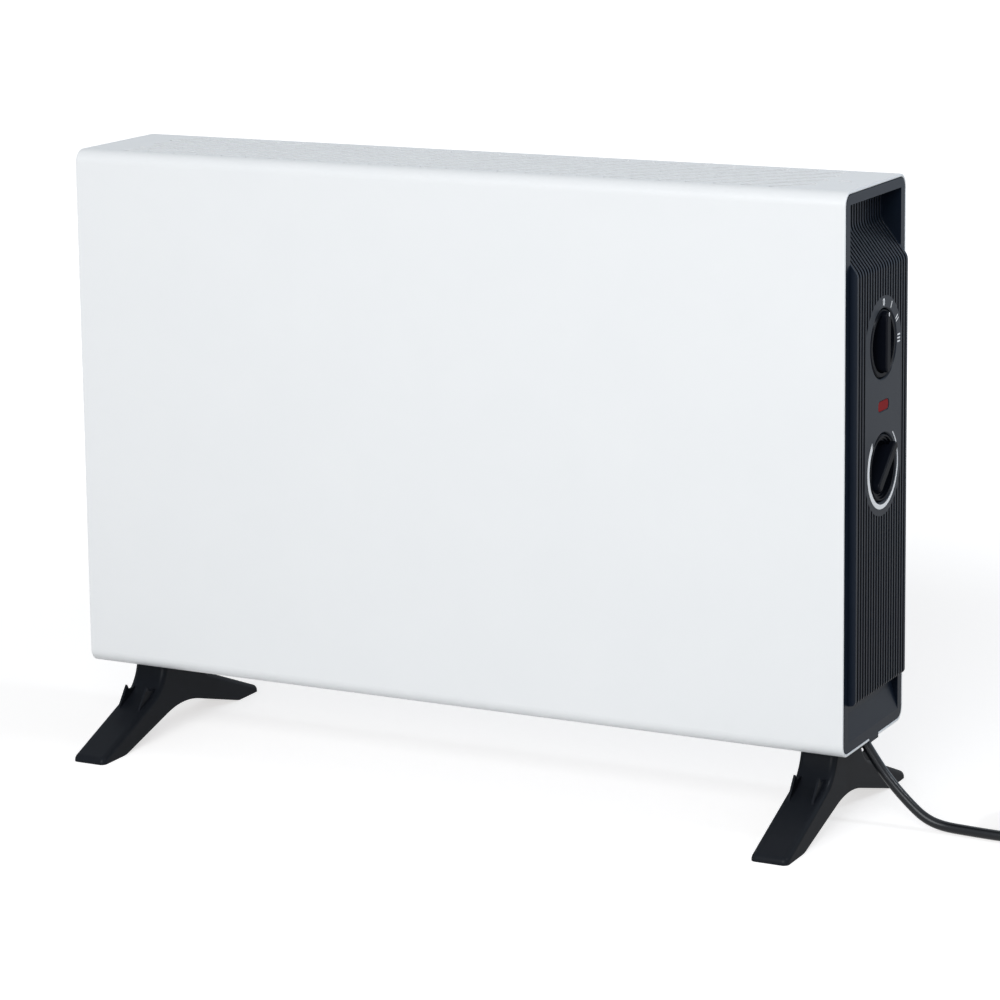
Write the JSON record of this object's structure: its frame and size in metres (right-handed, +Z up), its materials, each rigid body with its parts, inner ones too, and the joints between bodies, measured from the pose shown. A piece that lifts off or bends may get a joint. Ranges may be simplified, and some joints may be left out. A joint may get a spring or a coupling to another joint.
{
  "type": "portable convector heater",
  "caption": "Slim free-standing convector heater: white folded-sheet casing with slanted top louvres, black ribbed end caps with hand grips, dials at one end, splayed feet, mains lead.",
  "frame": {"origin": "on the floor, at the centre of the heater's box without its free cord", "axes": "+X along the heater to the end with the controls, +Y to the back, +Z up"},
  "size_m": [0.7784, 0.2809, 0.444],
  "materials": {
    "white_enamel": "satin powder coat",
    "black_moulding": "fine spark-eroded texture",
    "knob_plastic": "satin",
    "foot_plastic": "fine texture",
    "red_lens": "glossy translucent red",
    "lamp_glass": "clear",
    "galvanised_steel": "galvanised",
    "bright_aluminium": "bright",
    "mica_board": "matt",
    "element_alloy": "dull",
    "cream_ceramic": "matt",
    "zinc_screw": "zinc plated",
    "white_nylon": "matt",
    "cord_sheath": "matt",
    "plug_plastic": "satin",
    "nickel_pin": "nickel plated",
    "steel_shaft": "bright"
  },
  "bodies": {
    "heater": {"front_casing": "white_enamel", "rear_panel": "white_enamel", "control_end_cap": "black_moulding", "plain_end_cap": "black_moulding", "selector_switch": "cream_ceramic", "thermostat_body": "cream_ceramic", "bush_nuts": "zinc_screw", "control_bracket": "galvanised_steel", "bracket_screws": "zinc_screw", "indicator_lens": "red_lens", "indicator_lamp": "lamp_glass", "control_baffle": "galvanised_steel", "plain_baffle": "galvanised_steel", "element_holders": "cream_ceramic", "element_cards": "mica_board", "element_wires": "element_alloy", "heat_shield": "bright_aluminium", "thermal_cutout": "galvanised_steel", "terminal_block": "white_nylon", "cord_clamp": "white_nylon", "inner_cord": "cord_sheath", "cord_gland": "cord_sheath", "right_foot": "foot_plastic", "left_foot": "foot_plastic", "foot_screws": "zinc_screw", "foot_nuts": "zinc_screw", "rear_panel_screws": "zinc_screw", "end_cap_screws": "zinc_screw", "power_cord": "cord_sheath", "cord_coil": "cord_sheath", "cord_tie": "cord_sheath", "plug_lead": "cord_sheath", "plug_body": "plug_plastic", "plug_pins": "nickel_pin"},
    "selector": {"selector_knob": "knob_plastic", "selector_shaft": "steel_shaft"},
    "thermostat": {"thermostat_knob": "knob_plastic", "thermostat_shaft": "steel_shaft"}
  },
  "joints": [
    {"name": "selector_turn", "type": "hinge", "parent": "heater", "child": "selector", "pos_m": [0.298, 0.0015, 0.335], "axis": [-1, 0, 0], "range_deg": [0, 91]},
    {"name": "thermostat_turn", "type": "hinge", "parent": "heater", "child": "thermostat", "pos_m": [0.298, 0.0015, 0.25], "axis": [-1, 0, 0], "range_deg": [-5, 265]}
  ]
}
